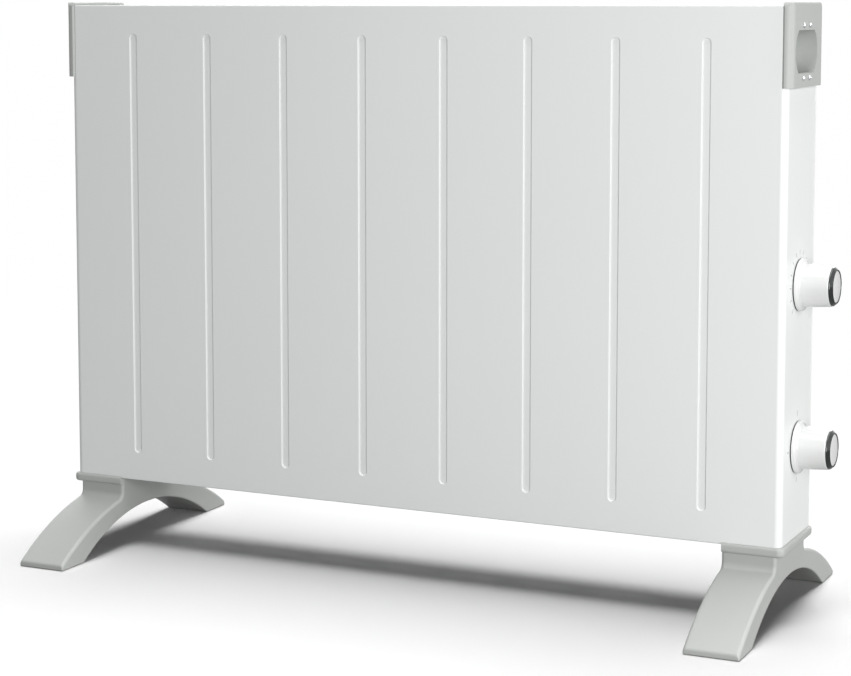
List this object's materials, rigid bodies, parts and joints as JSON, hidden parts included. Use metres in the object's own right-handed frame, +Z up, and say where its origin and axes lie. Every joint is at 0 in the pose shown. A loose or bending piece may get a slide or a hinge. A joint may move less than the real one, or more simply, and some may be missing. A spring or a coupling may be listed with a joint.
{
  "type": "panel convector heater",
  "caption": "Slim electric panel convector on two arched feet, with channels pressed into the front sheet, slotted top and back, corner handles and side dials.",
  "frame": {"origin": "on the floor, under the middle of the overall width (dials included) and of the overall depth", "axes": "+X to the heater's right side, where the dials are, seen from the front; -Y towards the front; +Z up"},
  "size_m": [0.7742, 0.309, 0.548],
  "materials": {
    "white_sheet": "satin powder coat",
    "grey_plastic": "satin moulded",
    "white_plastic": "gloss",
    "chrome_ring": "polished",
    "zinc_steel": "bright zinc",
    "element_aluminium": "as extruded",
    "ceramic": "unglazed ceramic",
    "black_plastic": "satin",
    "brown_lead": "satin insulation",
    "blue_lead": "satin insulation",
    "green_lead": "satin insulation"
  },
  "bodies": {
    "heater": {"front_shell": "white_sheet", "back_panel": "white_sheet", "top_grille": "white_sheet", "base_plate": "white_sheet", "right_corner_handle": "grey_plastic", "left_corner_handle": "grey_plastic", "right_handle_screw_1": "zinc_steel", "right_handle_screw_2": "zinc_steel", "right_handle_screw_3": "zinc_steel", "right_handle_screw_4": "zinc_steel", "left_handle_screw_1": "zinc_steel", "left_handle_screw_2": "zinc_steel", "left_handle_screw_3": "zinc_steel", "left_handle_screw_4": "zinc_steel", "right_foot": "grey_plastic", "left_foot": "grey_plastic", "right_foot_screw_1": "zinc_steel", "right_foot_screw_2": "zinc_steel", "left_foot_screw_1": "zinc_steel", "left_foot_screw_2": "zinc_steel", "back_screw_1": "zinc_steel", "back_screw_2": "zinc_steel", "back_screw_3": "zinc_steel", "back_screw_4": "zinc_steel", "back_screw_5": "zinc_steel", "back_screw_6": "zinc_steel", "thermostat_nut": "zinc_steel", "power_nut": "zinc_steel", "thermostat_body": "ceramic", "power_switch_body": "black_plastic", "control_partition": "zinc_steel", "element_bracket": "zinc_steel", "front_element": "element_aluminium", "rear_element": "element_aluminium", "front_insulator_left": "ceramic", "front_insulator_right": "ceramic", "rear_insulator_left": "ceramic", "rear_insulator_right": "ceramic", "front_heat_shield": "zinc_steel", "thermal_cutout": "ceramic", "terminal_block": "black_plastic", "cord_gland": "grey_plastic", "earth_screw": "zinc_steel", "live_lead": "brown_lead", "cutout_lead": "brown_lead", "thermostat_lead": "brown_lead", "front_element_lead": "brown_lead", "rear_element_lead": "brown_lead", "element_link_lead": "blue_lead", "neutral_lead": "blue_lead", "earth_lead": "green_lead"},
    "thermostat_dial": {"thermostat_knob": "white_plastic", "thermostat_knob_ring": "chrome_ring", "thermostat_knob_cap": "white_plastic", "thermostat_spindle": "zinc_steel"},
    "power_dial": {"power_knob": "white_plastic", "power_knob_ring": "chrome_ring", "power_knob_cap": "white_plastic", "power_spindle": "zinc_steel"}
  },
  "joints": [
    {"name": "thermostat_turn", "type": "hinge", "parent": "heater", "child": "thermostat_dial", "pos_m": [0.35295, 0, 0.299], "axis": [-1, 0, 0], "range_deg": [0, 270]},
    {"name": "power_turn", "type": "hinge", "parent": "heater", "child": "power_dial", "pos_m": [0.35295, 0, 0.1535], "axis": [-1, 0, 0], "range_deg": [0, 270]}
  ]
}
